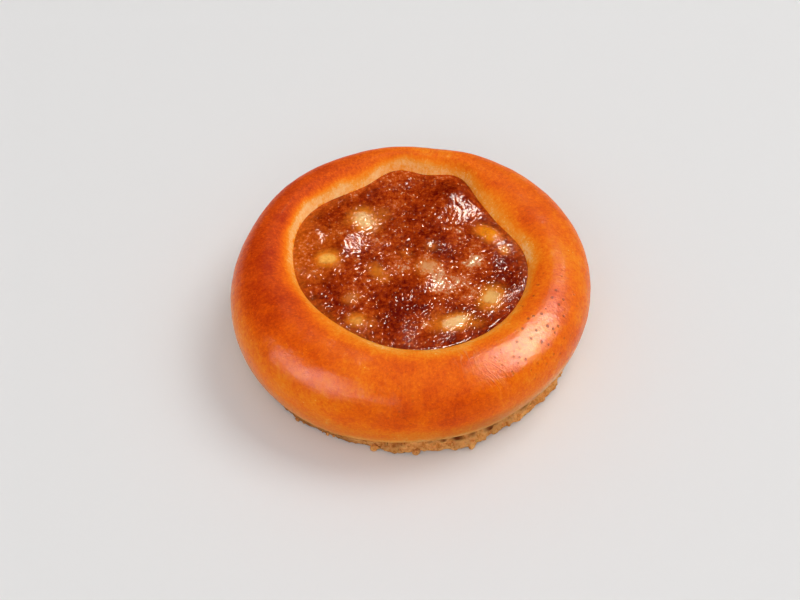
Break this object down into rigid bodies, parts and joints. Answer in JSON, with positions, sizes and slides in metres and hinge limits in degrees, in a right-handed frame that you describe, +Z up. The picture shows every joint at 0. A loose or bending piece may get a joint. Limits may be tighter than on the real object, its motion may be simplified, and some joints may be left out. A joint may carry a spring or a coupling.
{
  "type": "apple vatrushka",
  "caption": "Open round sweet bun: a raised glazed ring of browned dough round a shallow well of red-brown apple jam with diced cooked apple in its top.",
  "frame": {"origin": "middle of the bun's flat underside", "axes": "+Z up, through the bun's thickness; +X to the right and +Y away from the viewer, as the picture shows the bun"},
  "size_m": [0.1104, 0.1089, 0.0315],
  "materials": {
    "crust": "egg-washed baked dough, satin to glossy, with a matt torn crumb foot",
    "apple_jam": "glossy, translucent, wrinkled gel",
    "cooked_apple": "wet, translucent, soft-edged"
  },
  "bodies": {
    "root": {"bun": "crust", "apple_filling": "apple_jam", "apple_piece_01": "cooked_apple", "apple_piece_02": "cooked_apple", "apple_piece_03": "cooked_apple", "apple_piece_04": "cooked_apple", "apple_piece_05": "cooked_apple", "apple_piece_06": "cooked_apple", "apple_piece_07": "cooked_apple", "apple_piece_08": "cooked_apple", "apple_piece_09": "cooked_apple", "apple_piece_10": "cooked_apple"}
  },
  "joints": []
}
